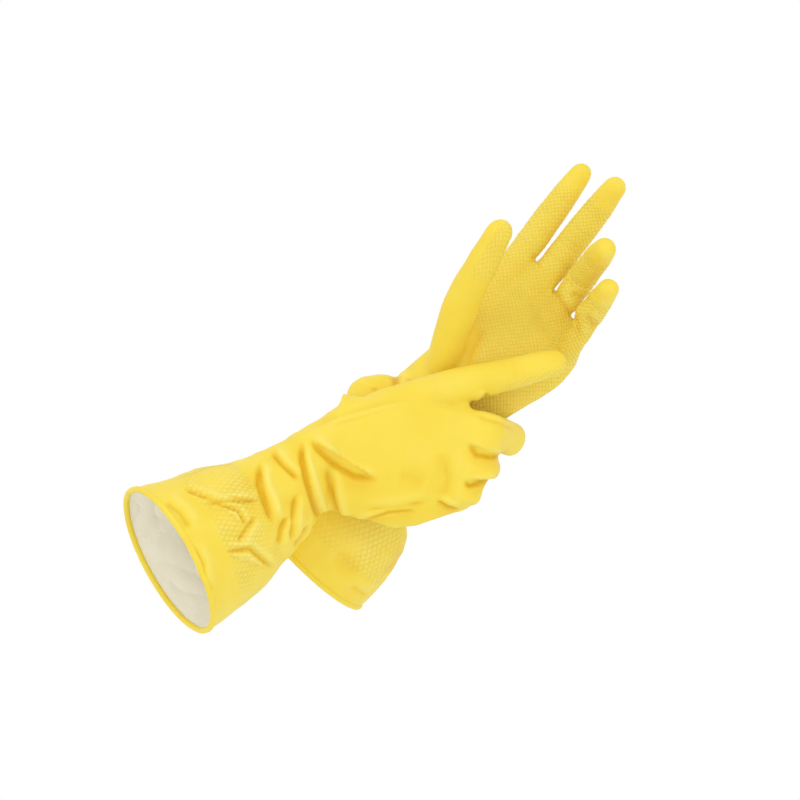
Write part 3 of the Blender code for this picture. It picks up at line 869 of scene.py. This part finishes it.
def grip_strength(glove, straight, normals, palm_side, own, along):
    """How strongly the grip pattern shows: on the palm side, less at the fingertips, and on the thumb only
    near its end, where it faces the fingers."""
    bones = thumb_bones(glove)
    grip = palm_side * smoothstep((straight[:, 2] / MM - 2) / 10)
    from_thumb, _ = distance_to(straight, [tuple(bone["start"]) for bone in bones])
    grip *= smoothstep((from_thumb / MM - 14) / 8)
    lengths = np.array([sum(sizes["bones"]) for sizes in (*FINGERS.values(), THUMB)])
    to_tip = lengths[own] - along / MM
    on_finger = (own >= 0) & (own != ON_THUMB)
    grip *= np.where(on_finger, 0.25 + 0.75 * smoothstep((to_tip - 4) / 14), 1.0)
    facing = np.array(bones[1]["turn"] @ Vector((0, -1, 0)))
    on_pad = smoothstep((along / MM - 72) / 8) * smoothstep((normals @ facing + 0.15) / 0.4)
    return np.where(own == ON_THUMB, 0.8 * on_pad, grip)


def joint_creases(glove, own, along, palm_side):
    """The fine gathers that latex makes on the inner side of a bent joint."""
    push = np.zeros(len(own))
    for k, digit in enumerate(DIGITS):
        _, *bends = glove["fingers"][digit]
        for joint, bend in enumerate(bends):
            at = sum(FINGERS[digit]["bones"][:joint]) * MM
            near = np.exp(-(((along - at) / JOINT_ZONE) ** 2)) * (own == k)
            inner = palm_side * min(1, bend / FULL_GATHER) * (joint > 0)
            outer = (1 - palm_side) * max(0.15, 1 - bend / FULL_GATHER)
            gathers = GATHER_HEIGHT * np.sin(along / GATHER_PITCH + 3 * k)
            push += near * (inner + outer * 0.4) * gathers
    for at in (THUMB["bones"][0], sum(THUMB["bones"][:2])):
        near = np.exp(-(((along - at * MM) / JOINT_ZONE) ** 2)) * (own == ON_THUMB)
        push += near * 0.07 * MM * np.sin(along / (0.85 * MM))
    return push


def regions_of(faces, own, along):
    """0 on the hand and the sleeve, 1 + 3 x finger + piece on a finger, and 13 and 14 on the thumb."""
    owners = own[faces]
    owner = np.where(owners[:, 0] == owners[:, 1], owners[:, 0], owners[:, 2])
    s = along[faces].mean(axis=1) / MM
    regions = np.zeros(len(faces), int)
    for k, digit in enumerate(DIGITS):
        bones = FINGERS[digit]["bones"]
        mine = owner == k
        regions[mine & (s > STRIP_START)] = 1 + 3 * k
        regions[mine & (s > FINGERS[digit]["strip_end"])] = 2 + 3 * k
        regions[mine & (s > bones[0] + bones[1] / 2)] = 3 + 3 * k
    mine = owner == ON_THUMB
    regions[mine & (s > THUMB["bones"][0] - THUMB_STRIP)] = 13
    regions[mine & (s > THUMB["bones"][0] + THUMB["bones"][1] / 2)] = 14
    return regions


def finger_pieces(glove, form, latex):
    name = glove["name"]
    for k, digit in enumerate(DIGITS):
        beside = [1 + 3 * other for other in (k - 1, k + 1) if 0 <= other < len(DIGITS)]
        nodes = [(f"{name}_{digit}_base",)]
        nodes.append((f"{name}_{digit}_base_crease", f"{name}_{digit}_mid"))
        nodes.append((f"{name}_{digit}_tip_crease", f"{name}_{digit}_tip"))
        for part, (label, half) in enumerate(HALF_BENDS.items()):
            sides = beside if part == 0 else ()
            piece = cut_out(f"{name}_{digit}_{label}", form, 1 + 3 * k + part, latex, sides)
            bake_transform(piece)
            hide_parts(*nodes[part])


def thumb_pieces(glove, form, latex):
    name = glove["name"]
    nodes = [(f"{name}_thumb_root_crease", f"{name}_thumb_base")]
    nodes.append((f"{name}_thumb_tip_crease", f"{name}_thumb_tip"))
    for part, label in enumerate(("root_skin", "tip_skin")):
        piece = cut_out(f"{name}_thumb_{label}", form, 13 + part, latex)
        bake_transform(piece)
        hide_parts(*nodes[part])


def ride_hand(glove, piece):
    """A piece that runs from the hand into the sleeve, where the sleeve swings at the wrist: it rides the
    hand's body when hand and sleeve are one body, and is otherwise left fixed in place.
    """
    if glove["hand_body"] == glove["sleeve_body"]:
        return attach(piece, glove["hand_body"])
    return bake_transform(piece)


def make_glove(glove, folds, latex, flock):
    name = glove["name"]
    form, from_cuff = glove_form(glove, folds)
    points, faces, normals, values, regions = form
    skin = cut_out(f"{name}_hand_and_sleeve", form, 0, latex)
    ride_hand(glove, skin)
    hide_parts(*[f"{name}_{node}" for node in glove["hand_nodes"]])
    finger_pieces(glove, form, latex)
    thumb_pieces(glove, form, latex)

    # The flock follows the smoothed skin, so that no sharp fold lets it through.
    hand_faces = faces[regions == 0]
    used = np.unique(hand_faces)
    number = np.full(len(points), -1)
    number[used] = np.arange(len(used))
    soft = relaxed(points, edges_of(faces), 6, np.zeros(len(points)))[used]
    near_rim = smoothstep((RIM_ZONE - from_cuff[used]) / RIM_ZONE)[:, None]
    depth = (LINING_DEPTH - LINING_RISE * near_rim) * MM
    inner = soft + (points[used] - soft) * near_rim - normals[used] * depth
    lining_faces = number[hand_faces][:, ::-1]
    lining_values = {key: value[used] for key, value in values.items()}
    lining = piece_of(f"{name}_flock_lining", inner, lining_faces, -normals[used], lining_values, flock)
    ride_hand(glove, lining)
    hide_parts(f"{name}_sleeve_lining")

    bead = bead_on(f"{name}_rolled_bead", points[rim_in_order(faces)], BEAD_RADIUS, latex, values)
    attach(bead, glove["sleeve_body"])
    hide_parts(f"{name}_cuff_bead")


# ---- Materials ----------------------------------------------------------------------------------------
# The places of a colour mix node's sockets.
MIX_SHARE, MIX_FIRST, MIX_SECOND, MIX_RESULT = 0, 6, 7, 2
# The latex's own tones, and the colours of its painted shade and painted highlight.
LATEX_COLOURS = {
    "one": (0.93, 0.68, 0.05, 1),
    "other": (0.96, 0.77, 0.10, 1),
    # painted shade: the deeper colour laid into the folds where the skin is pressed in
    "painted_fold_shade": (0.80, 0.47, 0.008, 1),
    # painted highlight: the paler colour laid onto crests that stand proud and onto the tops of the raised
    # diamonds
    "crest": (0.99, 0.87, 0.25, 1),
    # painted shade: the deeper colour laid into the grooves between the raised diamonds
    "painted_groove_shade": (0.86, 0.52, 0.012, 1),
}
FLOCK_COLOUR = (0.97, 0.93, 0.79, 1)


def node(tree, kind, **settings):
    made = tree.nodes.new(kind)
    for key, value in settings.items():
        setattr(made, key, value)
    return made


def maths(tree, operation, a, b=None):
    made = node(tree, "ShaderNodeMath", operation=operation)
    for socket, value in zip(made.inputs, (a, b)):
        if value is None:
            continue
        if isinstance(value, (int, float)):
            socket.default_value = value
        else:
            tree.links.new(value, socket)
    return made.outputs[0]


def mixed(tree, share, first, second):
    """A second colour over a first one, which may come from another node, by a share."""
    made = node(tree, "ShaderNodeMix", data_type="RGBA")
    tree.links.new(share, made.inputs[MIX_SHARE])
    if isinstance(first, tuple):
        made.inputs[MIX_FIRST].default_value = first
    else:
        tree.links.new(first, made.inputs[MIX_FIRST])
    made.inputs[MIX_SECOND].default_value = second
    return made.outputs[MIX_RESULT]


def diamonds(tree, uv_name, pitch, stretch=1.0):
    """The height of a lattice of small raised diamonds, 0 to 1."""
    uv = node(tree, "ShaderNodeUVMap", uv_map=uv_name)
    parts = node(tree, "ShaderNodeSeparateXYZ")
    tree.links.new(uv.outputs[0], parts.inputs[0])
    turn = math.pi / pitch
    u = maths(tree, "MULTIPLY", parts.outputs[0], turn)
    v = maths(tree, "MULTIPLY", parts.outputs[1], turn * stretch)
    a = maths(tree, "ABSOLUTE", maths(tree, "SINE", maths(tree, "ADD", u, v)))
    b = maths(tree, "ABSOLUTE", maths(tree, "SINE", maths(tree, "SUBTRACT", u, v)))
    return maths(tree, "POWER", maths(tree, "MINIMUM", a, b), 0.6)


def number_of(tree, name):
    """A number that the mesh holds at its points."""
    return node(tree, "ShaderNodeAttribute", attribute_name=name).outputs["Fac"]


def noise_of(tree, scale, detail):
    """Blender's noise in the piece's own place, so that it stays with a piece that moves."""
    coordinates = node(tree, "ShaderNodeTexCoord")
    made = node(tree, "ShaderNodeTexNoise")
    made.inputs["Scale"].default_value = scale
    made.inputs["Detail"].default_value = detail
    tree.links.new(coordinates.outputs["Object"], made.inputs["Vector"])
    return made.outputs[0]


def bumped(tree, height, strength, distance):
    bump = node(tree, "ShaderNodeBump")
    bump.inputs["Strength"].default_value = strength
    bump.inputs["Distance"].default_value = distance
    tree.links.new(height, bump.inputs["Height"])
    tree.links.new(bump.outputs[0], tree.nodes["Principled BSDF"].inputs["Normal"])


def latex_material():
    """Yellow latex with painted shade and a painted highlight: its colour is deeper in a fold and between
    the raised diamonds, as painted shade, and paler on a crest and on the diamonds' tops, as a painted
    highlight.
    """
    material = bpy.data.materials.new("yellow_latex_painted_shade")
    material.use_nodes = True
    tree = material.node_tree
    shader = tree.nodes["Principled BSDF"]
    shader.inputs["Roughness"].default_value = 0.46
    shader.inputs["Specular IOR Level"].default_value = 0.2
    shader.inputs["Subsurface Weight"].default_value = 0.18
    shader.inputs["Subsurface Radius"].default_value = (1.0, 0.6, 0.12)
    shader.inputs["Subsurface Scale"].default_value = 0.004

    crease, grip, band = (number_of(tree, name) for name in ("crease", "grip", "band"))
    grips = maths(tree, "MULTIPLY", diamonds(tree, "flat", GRIP_PITCH), grip)
    lozenges = maths(tree, "MULTIPLY", diamonds(tree, "cuff", LOZENGE_PITCH, LOZENGE_STRETCH), band)
    raised = maths(tree, "ADD", grips, lozenges)
    # where the skin lies low between the raised diamonds and lozenges, which gets painted shade
    grooves = maths(tree, "MAXIMUM", maths(tree, "SUBTRACT", maths(tree, "ADD", grip, band), raised), 0.0)
    # crease is above 0 where the skin is pressed in, which gets painted shade, and below 0 where it stands
    # proud, which gets a painted highlight
    depth = maths(tree, "MAXIMUM", crease, 0.0)
    rise = maths(tree, "MAXIMUM", maths(tree, "MULTIPLY", crease, -1.0), 0.0)

    colour = mixed(tree, noise_of(tree, 26.0, 3.0), LATEX_COLOURS["one"], LATEX_COLOURS["other"])
    # painted shade in the folds, deeper the further the skin is pressed in
    colour = mixed(tree, maths(tree, "MULTIPLY", depth, 0.85), colour, LATEX_COLOURS["painted_fold_shade"])
    # painted highlight on the crests and on the tops of the diamonds and lozenges
    painted_highlight = maths(tree, "ADD", maths(tree, "MULTIPLY", rise, 0.5), maths(tree, "MULTIPLY", raised, 0.3))
    colour = mixed(tree, painted_highlight, colour, LATEX_COLOURS["crest"])
    # painted shade in the grooves between the diamonds and lozenges
    colour = mixed(tree, maths(tree, "MULTIPLY", grooves, 0.2), colour, LATEX_COLOURS["painted_groove_shade"])
    tree.links.new(colour, shader.inputs["Base Color"])

    grain = maths(tree, "MULTIPLY", noise_of(tree, 900.0, 2.0), 0.05)
    bumped(tree, maths(tree, "ADD", raised, grain), 0.7, 0.6 * MM)
    return material


def flock_material():
    """Cream cotton flock, matt and fine-grained."""
    material = bpy.data.materials.new("cream_flock")
    material.use_nodes = True
    tree = material.node_tree
    shader = tree.nodes["Principled BSDF"]
    shader.inputs["Base Color"].default_value = FLOCK_COLOUR
    shader.inputs["Roughness"].default_value = 0.95
    shader.inputs["Specular IOR Level"].default_value = 0.1
    shader.inputs["Sheen Weight"].default_value = 0.5
    bumped(tree, noise_of(tree, 700.0, 4.0), 0.6, 0.4 * MM)
    return material


# ---- The studio ---------------------------------------------------------------------------------------
CAMERA_PLACE = (0.0614, -1.482, 0.1034)
FLOOR_SIZE = 0.6
FLOOR_DROP = 0.36  # far enough below the gloves to stay out of the picture


def area_light(name, place, aim, size, power):
    light = bpy.data.lights.new(name, "AREA")
    light.shape = "DISK"
    light.size = size
    light.energy = power
    lamp = bpy.data.objects.new(name, light)
    lamp.location = place
    lamp.rotation_euler = (Vector(aim) - Vector(place)).to_track_quat("-Z", "Y").to_euler()
    bpy.context.scene.collection.objects.link(lamp)


def studio(low, high):
    """White all round as the camera sees it, a little dimmer as light, with two soft lamps and a floor."""
    world = bpy.data.worlds.new("studio")
    world.use_nodes = True
    tree = world.node_tree
    seen = node(tree, "ShaderNodeLightPath")
    strength = maths(tree, "MULTIPLY", seen.outputs["Is Camera Ray"], 1 - AMBIENT)
    tree.links.new(maths(tree, "ADD", strength, AMBIENT), tree.nodes["Background"].inputs["Strength"])
    tree.nodes["Background"].inputs["Color"].default_value = (1, 1, 1, 1)
    bpy.context.scene.world = world
    middle = (low + high) / 2
    area_light("key", middle + Vector((-0.5, -1.0, 0.9)), middle, 0.7, 1.9)
    area_light("fill", middle + Vector((0.5, -1.3, 0.2)), middle, 1.0, 1.5)
    white_floor(middle, low.z - FLOOR_DROP)
    camera_data = bpy.data.cameras.new("camera")
    camera_data.lens = 100
    camera_data.sensor_width = 36
    camera = bpy.data.objects.new("camera", camera_data)
    camera.location = CAMERA_PLACE
    camera.rotation_euler = (math.pi / 2, 0, 0)
    bpy.context.scene.collection.objects.link(camera)
    bpy.context.scene.camera = camera
    bpy.context.scene.view_settings.view_transform = "Standard"


def white_floor(middle, height):
    mesh = bpy.data.meshes.new("floor")
    bm = bmesh.new()
    bmesh.ops.create_grid(bm, x_segments=1, y_segments=1, size=FLOOR_SIZE)
    bm.to_mesh(mesh)
    bm.free()
    ground = bpy.data.objects.new("floor", mesh)
    ground.location = (middle.x, middle.y, height)
    bpy.context.scene.collection.objects.link(ground)
    white = bpy.data.materials.new("floor_white")
    white.use_nodes = True
    white.node_tree.nodes["Principled BSDF"].inputs["Base Color"].default_value = (0.95, 0.95, 0.95, 1)
    white.node_tree.nodes["Principled BSDF"].inputs["Roughness"].default_value = 0.9
    mesh.materials.append(white)


def main():
    for thing in list(bpy.data.objects):
        bpy.data.objects.remove(thing, do_unlink=True)
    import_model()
    cad_low, cad_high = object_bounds()
    studio(cad_low, cad_high)
    latex = latex_material()
    flock = flock_material()
    make_glove(LEFT, LEFT_FOLDS, latex, flock)
    make_glove(RIGHT, RIGHT_FOLDS, latex, flock)


main()
